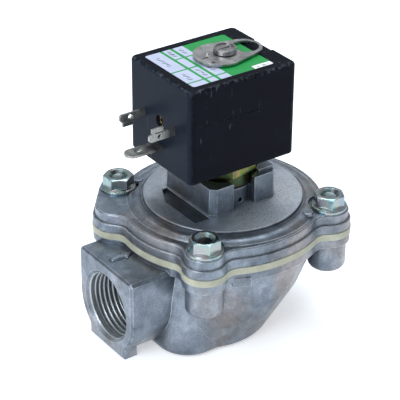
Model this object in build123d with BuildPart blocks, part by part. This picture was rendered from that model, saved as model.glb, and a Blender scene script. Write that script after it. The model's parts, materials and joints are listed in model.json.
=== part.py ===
"""Dust collector pulse valve: a right-angle diaphragm valve with its solenoid pilot on the bonnet.

Millimetres. The origin is on the diaphragm's axis, in the plane of the outlet face on which the
valve stands. +Z points up through the coil, and the inlet faces -X.
"""

import math
import os

from build123d import *

os.makedirs("parts", exist_ok=True)

BOTTOM_UP = (Align.CENTER, Align.CENTER, Align.MIN)

# Clearances
thread_gap = 0.02  # a thread is a plain cylinder this much inside its tapped hole
bolt_hole_gap = 0.35
sliding_gap = 0.08  # core in its tube, on the radius
slip_gap = 0.05  # pieces pushed over or into each other by hand
coil_bore_gap = 0.4  # coil around the core tube, on the radius
lift_off_gap = 0.3  # under the clip, so that it slides over the coil

# Pipe ports, bored to the thread's minor diameter
port_r = 12.06
port_depth = 15.0
port_mouth_r = 13.5
port_mouth_depth = 1.4
passage_r = 11.0

# Inlet socket, flat on top and half round below
socket_r = 16.75
socket_reach = 50.5
socket_top_bevel = 1.2
socket_face_bevel = 0.8
socket_top_rise = 1.5  # its flat above the flange's underside
foot_length = 5.75
foot_half_width = 11.0

# Bowl: bellied, deepest on the inlet side, and with a squarer hood under the inlet
bowl_top_step = 1.6  # inside the flange's edge
bowl_top_x = -1.0
bowl_belly = 1.9  # its belly's radius over the straight cone's
bowl_belly_share = 0.55  # of the way up
bowl_belly_fillet = 30.0
bowl_foot_r = 26.1
bowl_foot_x = -11.3
bowl_foot_fillet = 2.3
bowl_floor_z = 0.5
bowl_wall = 4.0
hood_step = 0.4  # inside the bowl's foot
hood_corner_r = 12.5
hood_height = 20.0
hood_draft = 8.0

# Flanges: a disc, a lobe at each bolt and a wider ear towards the inlet
chamber_r = 29.0
flange_width = 7.8  # from the chamber's wall to the flange's edge
flange_shift = 1.5  # the disc reaches this much further towards the inlet
bolt_overhang = 1.47  # of the bolts' axes outside the flange's edge
lobe_r = 7.9
ear_r = 9.3
ear_overhang = 0.77
ear_angle = 153.0
lobe_blend_r = 5.5
flange_bottom_z = 32.3
body_flange_t = 3.2
rim_t = 2.5
rim_proud = 0.25

# Cast bosses under the body's flange and the small lug on its edge
boss_r = 6.8
boss_length = 11.3
boss_fillet = 2.2
lug_angle = -115.4
lug_width = 6.5
lug_height = 1.9
lug_proud = 0.9

# Outlet tube and seat
tube_r = 15.4
outlet_boss_r = 17.5
seat_lip_r = 12.6
seat_lip_height = 0.8
seat_drop = 4.0  # seat below the body's top face

# Bonnet
bonnet_flange_t = 7.0
bonnet_ledge_z = 3.5  # above the bonnet's underside
bonnet_ledge = 0.85
disc_rim = 0.3  # disc's edge inside the chamber's wall
disc_rise = 2.4
disc_groove_depth = 1.3
disc_groove_width = 0.9
shoulder_width = 5.6
shoulder_rise = 1.5
spot_face_r = 7.5
dome_rim = 4.5  # clamped width of the diaphragm inside the chamber's wall
dome_height = 6.6
roof_t = 3.0

# Guard around the foot of the solenoid
guard_x = 14.3
guard_y = 13.5
guard_far_y = 15.5
guard_height = 10.2
guard_corner = 2.1
guard_far_corner = 0.9
guard_draft = 1.5
guard_bore_r = 12.2
guard_step_x = 7.6
guard_step_rise = 1.2
guard_gap_left = 4.9
guard_gap_right = 4.2
hub_r = 10.6
hub_rise = 6.1
pocket_ridge = 0.8
pocket_width = 6.3
pocket_half_length = 13.4
pocket_depth = 1.6
pocket_cut = 8.5

# Pilot
orifice_r = 0.9
pilot_seat_r = 2.4
pilot_seat_height = 1.9
vent_r = 0.9
vent_rise = 1.2  # its middle above the pilot chamber's floor
base_thread_r = 9.0
base_engagement = 3.6
gasket_t = 0.9
base_neck_r = 10.2
base_neck_height = 3.8
base_hex_af = 20.5
base_hex_turn = 12.0
base_hex_height = 5.4
base_seat_r = 9.6
base_seat_height = 0.8
washer_height = 1.6
washer_t = 0.5

# Core tube and what is in it
sleeve_r = 6.5
sleeve_wall = 0.8
sleeve_flange_r = 7.9
sleeve_flange_t = 0.8
core_travel = 1.5
core_length = 31.5
core_seal_r = 3.2
core_seal_proud = 1.5
core_seal_length = 3.0
core_spring_r = 2.4
core_spring_wire = 0.6
core_spring_pocket = 9.0
core_spring_pocket_r = 3.0
shading_r = 4.0
shading_width = 0.9
shading_depth = 1.5
neck_r = 2.4
button_r = 4.1
button_height = 1.7
button_dish_r = 3.3
button_dish_depth = 0.5
button_slot_length = 5.6
button_slot_width = 1.5
button_slot_depth = 0.9

# Diaphragm and its moving stack
membrane_hub_r = 17.2
membrane_t = 1.6
hub_t = 2.5
plate_r = 15.0
plate_t = 1.5
retainer_r = 8.8
retainer_t = 2.0
rivet_r = 2.0
rivet_head_r = 3.6
rivet_head_height = 1.2
spring_r = 9.0
spring_wire = 1.2
spring_turns = 3.0

# Cover bolts
bolt_shank_r = 2.95
bolt_flange_r = 6.5
bolt_flange_t = 1.2
bolt_cone_r = 5.8
bolt_cone_height = 0.8
bolt_af = 9.8
bolt_head_height = 5.5
bolt_crown_r = 4.6
bolt_reach = 18.5
bolt_dish_r = 3.6
bolt_dish_depth = 1.2
bolt_turns = (30.0, 25.0, 12.0, 3.0)

# Coil
coil_back_x = 27.1
coil_front_wall = 1.8  # over the back of the flux frame
coil_half_width = 18.5
coil_height = 34.9
coil_corner_r = 2.2
coil_edge_r = 1.3
coil_cap_t = 1.9
label_rim = 3.6
label_front_rim = 7.0
label_pocket = 0.6
label_channel = 11.5
label_channel_depth = 1.2
label_corner_r = 1.0
label_t = 0.4
label_slip = 0.15
parting_share = 0.39
parting_width = 0.25
parting_depth = 0.15
frame_t = 2.2
frame_width = 26.0
frame_back_gap = 0.3  # between the bobbin and the frame's back
frame_open_length = 0.9  # of the frame's legs past the bobbin
bobbin_rim = 0.1  # bobbin's flanges inside the frame's sides
bobbin_wall = 1.0
bobbin_tube_r = 8.0
winding_rim = 0.5  # winding inside the bobbin's flanges

# Terminals on the coil's -X face
blade_t = 0.8
blade_root = 5.0
line_pitch = 18.0
line_rise = 17.2  # above the coil's underside
line_length = 10.4
line_height = 2.8
line_tip_cut = 0.6
line_hole_r = 0.85
line_hole_reach = 6.2
line_ear_height = 1.9
line_ear_length = 4.5
line_ear_start = 4.7
line_slit_length = 3.3
line_slit_width = 0.35
earth_rise = 8.1
earth_length = 14.0
earth_width = 5.8
earth_hole_length = 2.4
earth_hole_width = 1.5
earth_hole_reach = 8.6
insert_r = 2.2
insert_hole_r = 1.25
insert_depth = 8.0
insert_recess = 1.2

# Retaining clip
clip_t = 0.8
clip_wide_r = 9.0
clip_wide_x = -2.5
clip_narrow_r = 6.5
clip_narrow_x = 8.0
clip_eye_x = 8.7
clip_eye_r = 4.8
clip_slot_gap = 0.1
clip_slit_x = -8.5
clip_slit_y = -0.3
clip_slit_length = 2.9
clip_slit_width = 0.7
clip_hole_x = -8.0
clip_hole_y = -4.6
clip_hole_r = 0.7
clip_bump_x = -6.2
clip_bump_y = 1.6
clip_bump_r = 0.9

# Radii that follow from the chamber's
flange_r = chamber_r + flange_width
bolt_xy = (flange_r + bolt_overhang) / math.sqrt(2)
ear_x = (flange_r + ear_overhang) * math.cos(math.radians(ear_angle))
ear_y = (flange_r + ear_overhang) * math.sin(math.radians(ear_angle))
bowl_top_r = flange_r - bowl_top_step
dome_r = chamber_r - dome_rim
clamp_r = chamber_r + dome_rim
disc_r = chamber_r - disc_rim
shoulder_r = disc_r + shoulder_width

# Sizes around the coil that follow from the flux frame's width
bobbin_r = frame_width / 2 - bobbin_rim
winding_r = bobbin_r - winding_rim
frame_back_x = bobbin_r + frame_back_gap + frame_t
frame_open_x = bobbin_r + frame_open_length
coil_front_x = frame_back_x + coil_front_wall

# Heights that follow from the sizes above, from the outlet face upwards
inlet_z = socket_r
socket_top_z = flange_bottom_z + socket_top_rise
body_top_z = flange_bottom_z + body_flange_t
seat_z = body_top_z - seat_drop
bonnet_z = body_top_z + rim_t
flange_top_z = bonnet_z + bonnet_flange_t
disc_z = flange_top_z + disc_rise
roof_z = bonnet_z + dome_height
pilot_floor_z = roof_z + roof_t
pilot_seat_z = pilot_floor_z + pilot_seat_height
hub_top_z = disc_z + hub_rise
guard_top_z = disc_z + guard_height
base_z = hub_top_z - base_engagement
base_neck_z = hub_top_z + gasket_t
base_hex_z = base_neck_z + base_neck_height
base_top_z = base_hex_z + base_hex_height + base_seat_height
sleeve_z = base_z + sleeve_flange_t / 2
core_z = pilot_seat_z + core_seal_proud
core_top_z = core_z + core_length
plug_z = core_top_z + core_travel
sleeve_inner_r = sleeve_r - sleeve_wall
core_r = sleeve_inner_r - sliding_gap
coil_bottom_z = base_top_z + washer_height
coil_top_z = coil_bottom_z + coil_height
line_z = coil_bottom_z + line_rise
earth_z = coil_bottom_z + earth_rise
label_z = coil_top_z - label_pocket
clip_z = coil_top_z + lift_off_gap
sleeve_top_z = label_z - label_pocket
coil_bore_r = sleeve_r + coil_bore_gap
membrane_top_z = seat_z + hub_t
plate_top_z = membrane_top_z + plate_t
retainer_z = seat_z - retainer_t
boss_bottom_z = flange_bottom_z - boss_length
bolt_places = [(-bolt_xy, bolt_xy), (bolt_xy, bolt_xy), (-bolt_xy, -bolt_xy), (bolt_xy, -bolt_xy)]
tapped_r = bolt_shank_r + thread_gap
bolt_hole_r = bolt_shank_r + bolt_hole_gap
bolt_end_z = flange_top_z - bolt_reach


def lobed_outline(z, inset=0.0):
    """Plan of the flanges and the diaphragm's rim at height z, drawn in by inset."""
    with BuildSketch(mode=Mode.PRIVATE) as ear:
        with Locations((-bolt_xy, bolt_xy)):
            Circle(lobe_r - inset)
        with Locations((ear_x, ear_y)):
            Circle(ear_r - inset)
        make_hull()
    disc_edge = flange_r - inset
    with BuildSketch(Plane.XY.offset(z), mode=Mode.PRIVATE) as outline:
        with Locations((0, 0), (-flange_shift, 0)):
            Circle(disc_edge)
        make_hull()
        with Locations(*bolt_places):
            Circle(lobe_r - inset)
        add(ear.sketch)
        in_corners = outline.vertices().filter_by(
            lambda v: abs(v.Y) < disc_edge - 1
            and (
                abs(math.hypot(v.X, v.Y) - disc_edge) < 0.01
                or abs(math.hypot(v.X + flange_shift, v.Y) - disc_edge) < 0.01
            )
        )
        fillet(in_corners, lobe_blend_r + inset)
    return outline.sketch


def helical_spring(radius, wire, bottom_z, top_z, turns):
    """Square wire wound about the valve's axis, its ends just inside the two heights."""
    rise = top_z - bottom_z - wire
    with BuildPart() as spring:
        with BuildLine(Plane.XY.offset(bottom_z + wire / 2)) as path:
            Helix(pitch=rise / turns, height=rise, radius=radius)
        with BuildSketch(Plane(origin=path.line @ 0, z_dir=path.line % 0)):
            Rectangle(wire, wire)
        sweep(is_frenet=True)
    return spring


# Cast body
bowl_belly_z = bowl_floor_z + bowl_belly_share * (flange_bottom_z - bowl_floor_z)
bowl_belly_x = bowl_foot_x + bowl_belly_share * (bowl_top_x - bowl_foot_x)
bowl_belly_r = bowl_foot_r + bowl_belly_share * (bowl_top_r - bowl_foot_r) + bowl_belly
bowl_sections = (
    (bowl_floor_z, bowl_foot_x, bowl_foot_r),
    (bowl_belly_z, bowl_belly_x, bowl_belly_r),
    (flange_bottom_z, bowl_top_x, bowl_top_r),
)
with BuildPart() as valve_body:
    # inlet socket, and the foot that squares off its underside at the face
    with BuildSketch(Plane.YZ.offset(-socket_reach)) as socket:
        with BuildLine():
            Line((socket_r, inlet_z), (socket_r, socket_top_z))
            Line((socket_r, socket_top_z), (-socket_r, socket_top_z))
            Line((-socket_r, socket_top_z), (-socket_r, inlet_z))
            ThreePointArc((-socket_r, inlet_z), (0, inlet_z - socket_r), (socket_r, inlet_z))
        make_face()
        chamfer(socket.vertices().group_by(Axis.Y)[-1], socket_top_bevel)
    extrude(amount=socket_reach - chamber_r + bowl_wall)
    with Locations((-socket_reach, 0, 0)):
        Box(foot_length, 2 * foot_half_width, inlet_z, align=(Align.MIN, Align.CENTER, Align.MIN))
    chamfer(valve_body.faces().sort_by(Axis.X)[0].edges(), socket_face_bevel)
    # bowl, with the hood in which the air turns down around the outlet tube
    with BuildPart(mode=Mode.PRIVATE) as bowl:
        for z, x, radius in bowl_sections:
            with BuildSketch(Plane.XY.offset(z)):
                with Locations((x, 0)):
                    Circle(radius)
        loft(ruled=True)
        belly = bowl.edges().filter_by(GeomType.CIRCLE).sort_by(Axis.Z)[1]
        fillet(belly, bowl_belly_fillet)
        fillet(bowl.edges().group_by(Axis.Z)[0], bowl_foot_fillet)
    with BuildPart(mode=Mode.PRIVATE) as hood:
        hood_reach = bowl_foot_r - hood_step
        with BuildSketch(Plane.XY.offset(bowl_floor_z)) as hood_plan:
            with Locations((bowl_foot_x, 0)):
                Rectangle(hood_reach, 2 * hood_reach, align=(Align.MAX, Align.CENTER))
            fillet(hood_plan.vertices().group_by(Axis.X)[0], hood_corner_r)
        extrude(amount=hood_height, taper=hood_draft)
        fillet(hood.edges().group_by(Axis.Z)[0], bowl_foot_fillet)
    add(bowl.part)
    add(hood.part)
    # outlet boss, the ring that the valve stands on
    Cylinder(outlet_boss_r, bowl_wall, align=BOTTOM_UP)
    # lug, then the flange over it and the tapped bosses
    with BuildSketch(Plane.XY.offset(flange_bottom_z - lug_height)):
        with PolarLocations(flange_r + lug_proud, 1, start_angle=lug_angle):
            Rectangle(bowl_wall + lug_proud, lug_width, align=(Align.MAX, Align.CENTER))
    extrude(amount=lug_height + body_flange_t / 2)
    extrude(lobed_outline(flange_bottom_z), amount=body_flange_t)
    with BuildPart(Plane.XY.offset(boss_bottom_z), mode=Mode.PRIVATE) as boss:
        Cylinder(boss_r, boss_length, align=BOTTOM_UP)
        fillet(boss.edges().group_by(Axis.Z)[0], boss_fillet)
    with Locations(*bolt_places):
        add(boss.part)
    # annular chamber, then the outlet tube that stands in it up to the seat
    for z, x, radius in (
        (bowl_floor_z + bowl_wall, bowl_foot_x, bowl_foot_r - bowl_wall),
        (bowl_belly_z, bowl_belly_x, bowl_belly_r - bowl_wall),
        (flange_bottom_z, 0, chamber_r),
    ):
        with BuildSketch(Plane.XY.offset(z)):
            with Locations((x, 0)):
                Circle(radius)
    loft(ruled=True, mode=Mode.SUBTRACT)
    with Locations((0, 0, flange_bottom_z)):
        Cylinder(chamber_r, body_flange_t, align=BOTTOM_UP, mode=Mode.SUBTRACT)
    Cylinder(tube_r, seat_z - seat_lip_height, align=BOTTOM_UP)
    with Locations((0, 0, seat_z - seat_lip_height)):
        Cone(tube_r - 1, seat_lip_r, seat_lip_height, align=BOTTOM_UP)
    # the two ports and their passages
    for port, run in (
        (Plane.XY, seat_z),
        (Plane(origin=(-socket_reach, 0, inlet_z), z_dir=(1, 0, 0)), socket_reach - tube_r - 2),
    ):
        for radius, depth in ((passage_r, run), (port_r, port_depth)):
            with BuildSketch(port):
                Circle(radius)
            extrude(amount=depth, mode=Mode.SUBTRACT)
        with BuildSketch(port):
            Circle(port_mouth_r)
        with BuildSketch(port.offset(port_mouth_depth)):
            Circle(port_r)
        loft(mode=Mode.SUBTRACT)
    with Locations(*[(x, y, body_top_z) for x, y in bolt_places]):
        Hole(tapped_r, body_top_z - bolt_end_z + 1)
valve_body.part.label = "valve_body"

# Diaphragm, moulded in one piece with the rim that seals the joint
with BuildPart() as diaphragm:
    extrude(lobed_outline(body_top_z, -rim_proud), amount=rim_t)
    Cylinder(clamp_r, 4 * bonnet_z, mode=Mode.SUBTRACT)
    with BuildSketch(Plane.XZ):
        with BuildLine():
            FilletPolyline(
                (0, seat_z),
                (membrane_hub_r, seat_z),
                (dome_r + 2, body_top_z + rim_t / 2 - membrane_t / 2),
                (clamp_r, body_top_z),
                radius=3,
            )
            Line((clamp_r, body_top_z), (clamp_r, bonnet_z))
            FilletPolyline(
                (clamp_r, bonnet_z),
                (dome_r + 1, body_top_z + rim_t / 2 + membrane_t / 2),
                (membrane_hub_r, membrane_top_z),
                (0, membrane_top_z),
                radius=3,
            )
            Line((0, membrane_top_z), (0, seat_z))
        make_face()
    revolve(axis=Axis.Z)
    with Locations(*[(x, y, bonnet_z) for x, y in bolt_places]):
        Hole(bolt_hole_r, rim_t)
    with Locations((0, 0, membrane_top_z)):
        Hole(rivet_r + slip_gap, hub_t)
diaphragm.part.label = "diaphragm"

# Bonnet with the guard, the hub that takes the solenoid and the dome over the diaphragm
with BuildPart() as bonnet:
    extrude(lobed_outline(bonnet_z), amount=bonnet_ledge_z)
    chamfer(bonnet.edges().group_by(Axis.Z)[-1], bonnet_ledge / 3)
    extrude(lobed_outline(bonnet_z, bonnet_ledge), amount=bonnet_flange_t)
    chamfer(bonnet.edges().group_by(Axis.Z)[-1], bonnet_ledge / 2)
    # disc, the groove around it and the rounded shoulder
    groove_r = disc_r + disc_groove_width
    shoulder_z = flange_top_z + shoulder_rise
    with BuildSketch(Plane.XZ):
        with BuildLine():
            Line((0, roof_z), (0, disc_z))
            Line((0, disc_z), (disc_r - 0.2, disc_z))
            Line((disc_r - 0.2, disc_z), (disc_r, disc_z - 0.2))
            Line((disc_r, disc_z - 0.2), (disc_r, disc_z - disc_groove_depth))
            Line((disc_r, disc_z - disc_groove_depth), (groove_r, disc_z - disc_groove_depth))
            Line((groove_r, disc_z - disc_groove_depth), (groove_r, shoulder_z - 0.2))
            ThreePointArc(
                (groove_r, shoulder_z - 0.2),
                ((groove_r + shoulder_r) / 2, shoulder_z - 0.1),
                (shoulder_r, flange_top_z),
            )
            Line((shoulder_r, flange_top_z), (shoulder_r, roof_z))
            Line((shoulder_r, roof_z), (0, roof_z))
        make_face()
    revolve(axis=Axis.Z)
    # guard, bored round inside down to the hub's top, with its higher end towards +X
    with BuildSketch(Plane.XY.offset(disc_z)) as guard:
        with Locations((0, -guard_y)):
            Rectangle(2 * guard_x, guard_y + guard_far_y, align=(Align.CENTER, Align.MIN))
        chamfer(guard.vertices().group_by(Axis.Y)[0], guard_corner)
        chamfer(guard.vertices().group_by(Axis.Y)[-1], guard_far_corner)
    extrude(amount=guard_height, taper=guard_draft)
    top_inset = guard_height * math.tan(math.radians(guard_draft))
    with Locations((guard_x - top_inset, 0, guard_top_z)):
        Box(
            guard_x - top_inset - guard_step_x,
            2 * (guard_y - top_inset - guard_corner),
            guard_step_rise,
            align=(Align.MAX, Align.CENTER, Align.MIN),
        )
    with Locations((0, 0, hub_top_z)):
        Cylinder(guard_bore_r, 2 * guard_height, align=BOTTOM_UP, mode=Mode.SUBTRACT)
    with BuildSketch(Plane.XY.offset(disc_z)):
        with Locations(((guard_gap_right - guard_gap_left) / 2, 0)):
            Rectangle(guard_gap_left + guard_gap_right, 4 * guard_y)
        Circle(hub_r, mode=Mode.SUBTRACT)
    extrude(amount=2 * guard_height, mode=Mode.SUBTRACT)
    # pocket cast into the disc beside the guard's -X wall
    pocket_start_x = -guard_x - pocket_ridge
    pocket_end_x = pocket_start_x - pocket_width
    with BuildSketch(Plane.XY.offset(disc_z)) as pocket:
        with BuildLine():
            Polyline(
                (pocket_start_x, pocket_half_length),
                (pocket_start_x - pocket_width / 3, pocket_half_length),
                (pocket_end_x, pocket_half_length - pocket_cut),
                (pocket_end_x, -pocket_half_length),
                (pocket_start_x, -pocket_half_length),
                close=True,
            )
        make_face()
        fillet(pocket.vertices().group_by(Axis.X)[0], 1.0)
    extrude(amount=-pocket_depth, mode=Mode.SUBTRACT)
    # inside: dome, chamber for the solenoid, pilot seat and its passages
    with BuildPart(Plane.XY.offset(bonnet_z), mode=Mode.PRIVATE) as dome:
        Cylinder(dome_r, dome_height, align=BOTTOM_UP)
        fillet(dome.edges().group_by(Axis.Z)[-1], 2.0)
    add(dome.part, mode=Mode.SUBTRACT)
    with Locations((0, 0, pilot_floor_z)):
        Cylinder(base_thread_r + thread_gap, 3 * hub_rise, align=BOTTOM_UP, mode=Mode.SUBTRACT)
    with BuildSketch(Plane.XZ):
        with Locations((0, pilot_floor_z + vent_rise)):
            Circle(vent_r)
    extrude(amount=hub_r + 1, both=True, mode=Mode.SUBTRACT)
    with Locations((0, 0, pilot_floor_z)):
        Cylinder(pilot_seat_r, pilot_seat_height, align=BOTTOM_UP)
    with Locations((0, 0, pilot_seat_z)):
        Hole(orifice_r, pilot_seat_z - roof_z)
    # bolt holes with a spot face cut into the shoulder
    with Locations(*[(x, y, flange_top_z) for x, y in bolt_places]):
        Hole(bolt_hole_r, bonnet_flange_t)
        Cylinder(spot_face_r, disc_rise, align=BOTTOM_UP, mode=Mode.SUBTRACT)
bonnet.part.label = "bonnet"

for number, ((x, y), turn) in enumerate(zip(bolt_places, bolt_turns), start=1):
    # Flanged hexagon bolt with a dished head, turned as it was tightened
    head_top_z = flange_top_z + bolt_head_height
    cone_z = flange_top_z + bolt_flange_t
    with BuildPart() as cover_bolt:
        with Locations((x, y, flange_top_z)):
            Cylinder(bolt_flange_r, bolt_flange_t, align=BOTTOM_UP)
            Cylinder(bolt_shank_r, bolt_reach, align=(Align.CENTER, Align.CENTER, Align.MAX))
        chamfer(cover_bolt.edges().group_by(Axis.Z)[-1], 0.4)
        with Locations((x, y, cone_z)):
            Cone(bolt_cone_r, bolt_af / 2, bolt_cone_height, align=BOTTOM_UP)
        with BuildPart(mode=Mode.PRIVATE) as hexagon:
            with BuildSketch(Plane((x, y, cone_z))):
                RegularPolygon(bolt_af / 2, 6, major_radius=False, rotation=turn)
            extrude(amount=head_top_z - cone_z)
            with Locations((x, y, head_top_z)):
                Cone(
                    bolt_crown_r + 2 * bolt_head_height,
                    bolt_crown_r,
                    bolt_head_height,
                    align=(Align.CENTER, Align.CENTER, Align.MAX),
                    mode=Mode.INTERSECT,
                )
        add(hexagon.part)
        with Locations((x, y, head_top_z)):
            Cone(
                bolt_dish_r - bolt_dish_depth,
                bolt_dish_r,
                bolt_dish_depth,
                align=(Align.CENTER, Align.CENTER, Align.MAX),
                mode=Mode.SUBTRACT,
            )
    cover_bolt.part.label = f"cover_bolt_{number}"
    export_step(cover_bolt.part, f"parts/cover_bolt_{number}.step")

# Solenoid base, screwed into the hub
with BuildPart() as solenoid_base:
    with Locations((0, 0, base_z)):
        Cylinder(base_thread_r, base_neck_z - base_z, align=BOTTOM_UP)
    with Locations((0, 0, base_neck_z)):
        Cylinder(base_neck_r, base_neck_height, align=BOTTOM_UP)
    with BuildSketch(Plane.XY.offset(base_hex_z)):
        RegularPolygon(base_hex_af / 2, 6, major_radius=False, rotation=base_hex_turn)
    extrude(amount=base_hex_height)
    chamfer(solenoid_base.edges().group_by(Axis.Z)[-1], 0.6)
    with Locations((0, 0, base_hex_z + base_hex_height)):
        Cylinder(base_seat_r, base_seat_height, align=BOTTOM_UP)
    with Locations((0, 0, base_top_z)):
        Hole(sleeve_r + slip_gap, base_top_z - base_z)
    with Locations((0, 0, base_z)):
        Cylinder(
            sleeve_flange_r + slip_gap, 1.5 * sleeve_flange_t, align=BOTTOM_UP, mode=Mode.SUBTRACT
        )
solenoid_base.part.label = "solenoid_base"

with BuildPart(Plane.XY.offset(hub_top_z)) as base_gasket:
    Cylinder(base_neck_r, gasket_t, align=BOTTOM_UP)
    Cylinder(base_thread_r + slip_gap, gasket_t, align=BOTTOM_UP, mode=Mode.SUBTRACT)
base_gasket.part.label = "base_gasket"

# Spring washer, dished, between the base and the coil
with BuildPart() as spring_washer:
    with BuildSketch(Plane.XZ):
        with BuildLine():
            Polyline(
                (coil_bore_r, coil_bottom_z - washer_t),
                (base_seat_r, base_top_z),
                (base_seat_r, base_top_z + washer_t),
                (coil_bore_r, coil_bottom_z),
                close=True,
            )
        make_face()
    revolve(axis=Axis.Z)
spring_washer.part.label = "spring_washer"

# Core tube, closed at the top by the plug
with BuildPart() as core_tube:
    with Locations((0, 0, sleeve_z)):
        Cylinder(sleeve_r, sleeve_top_z - sleeve_z, align=BOTTOM_UP)
        Cylinder(sleeve_flange_r, sleeve_flange_t, align=BOTTOM_UP)
    with Locations((0, 0, sleeve_top_z)):
        Hole(sleeve_inner_r, sleeve_top_z - sleeve_z)
core_tube.part.label = "core_tube"

with BuildPart() as plug:
    with Locations((0, 0, plug_z)):
        Cylinder(sleeve_inner_r, sleeve_top_z - plug_z, align=BOTTOM_UP)
    with Locations((0, 0, sleeve_top_z)):
        Cylinder(sleeve_r, clip_z - sleeve_top_z - lift_off_gap, align=BOTTOM_UP)
        Cylinder(neck_r, clip_z + clip_t + lift_off_gap - sleeve_top_z, align=BOTTOM_UP)
    with Locations((0, 0, clip_z + clip_t + lift_off_gap)):
        Cylinder(button_r, button_height, align=BOTTOM_UP)
    chamfer(plug.edges().group_by(Axis.Z)[-1], 0.35)
    button_top_z = clip_z + clip_t + lift_off_gap + button_height
    with Locations((0, 0, button_top_z)):
        Cylinder(
            button_dish_r,
            button_dish_depth,
            align=(Align.CENTER, Align.CENTER, Align.MAX),
            mode=Mode.SUBTRACT,
        )
    with BuildSketch(Plane.XY.offset(button_top_z)):
        SlotOverall(button_slot_length, button_slot_width)
    extrude(amount=-button_slot_depth, mode=Mode.SUBTRACT)
    with BuildSketch(Plane.XY.offset(plug_z)):
        Circle(shading_r + shading_width / 2)
        Circle(shading_r - shading_width / 2, mode=Mode.SUBTRACT)
    extrude(amount=shading_depth, mode=Mode.SUBTRACT)
plug.part.label = "plug"

with BuildPart() as shading_ring:
    with BuildSketch(Plane.XY.offset(plug_z)):
        Circle(shading_r + shading_width / 2)
        Circle(shading_r - shading_width / 2, mode=Mode.SUBTRACT)
    extrude(amount=shading_depth)
shading_ring.part.label = "shading_ring"

with BuildPart() as core:
    with Locations((0, 0, core_z)):
        Cylinder(core_r, core_length, align=BOTTOM_UP)
    chamfer(core.edges().filter_by(GeomType.CIRCLE), 0.4)
    with Locations((0, 0, core_top_z)):
        Hole(core_spring_pocket_r, core_spring_pocket)
    with Locations((0, 0, core_z)):
        Cylinder(
            core_seal_r, core_seal_length - core_seal_proud, align=BOTTOM_UP, mode=Mode.SUBTRACT
        )
core.part.label = "core"

with BuildPart(Plane.XY.offset(pilot_seat_z)) as core_seal:
    Cylinder(core_seal_r, core_seal_length, align=BOTTOM_UP)
    chamfer(core_seal.edges().group_by(Axis.Z)[0], 0.3)
core_seal.part.label = "core_seal"

core_spring = helical_spring(
    core_spring_r, core_spring_wire, core_top_z - core_spring_pocket, plug_z, 5
)
core_spring.part.label = "core_spring"

# What the diaphragm lifts with it
with BuildPart() as backing_plate:
    with Locations((0, 0, membrane_top_z)):
        Cylinder(plate_r, plate_t, align=BOTTOM_UP)
    chamfer(backing_plate.edges().group_by(Axis.Z)[-1], plate_t / 3)
    with Locations((0, 0, plate_top_z)):
        Hole(rivet_r, plate_t)
backing_plate.part.label = "backing_plate"

with BuildPart() as retainer:
    with Locations((0, 0, retainer_z)):
        Cylinder(retainer_r, retainer_t, align=BOTTOM_UP)
    chamfer(retainer.edges().group_by(Axis.Z)[0], retainer_t / 3)
    with Locations((0, 0, seat_z)):
        Hole(rivet_r, retainer_t)
retainer.part.label = "retainer"

with BuildPart() as diaphragm_rivet:
    with Locations((0, 0, retainer_z - rivet_head_height)):
        Cylinder(
            rivet_r, plate_top_z - retainer_z + 2 * rivet_head_height, align=BOTTOM_UP
        )
        Cylinder(rivet_head_r, rivet_head_height, align=BOTTOM_UP)
    with Locations((0, 0, plate_top_z)):
        Cylinder(rivet_head_r, rivet_head_height, align=BOTTOM_UP)
    chamfer(diaphragm_rivet.edges().group_by(Axis.Z)[0], rivet_head_height / 2)
    chamfer(diaphragm_rivet.edges().group_by(Axis.Z)[-1], rivet_head_height / 2)
diaphragm_rivet.part.label = "diaphragm_rivet"

diaphragm_spring = helical_spring(spring_r, spring_wire, plate_top_z, roof_z, spring_turns)
diaphragm_spring.part.label = "diaphragm_spring"

# Coil: moulded housing around a steel frame, a bobbin and the winding
cavity_z = coil_bottom_z + coil_cap_t
cavity_top_z = label_z - coil_cap_t
coil_centre_x = (coil_front_x - coil_back_x) / 2
label_length = coil_back_x + coil_front_x - label_rim - label_front_rim
label_width = 2 * (coil_half_width - label_rim)
label_centre_x = coil_centre_x - (label_front_rim - label_rim) / 2
terminal_plane = Plane(origin=(-coil_back_x, 0, 0), x_dir=(0, -1, 0), z_dir=(-1, 0, 0))

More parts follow.
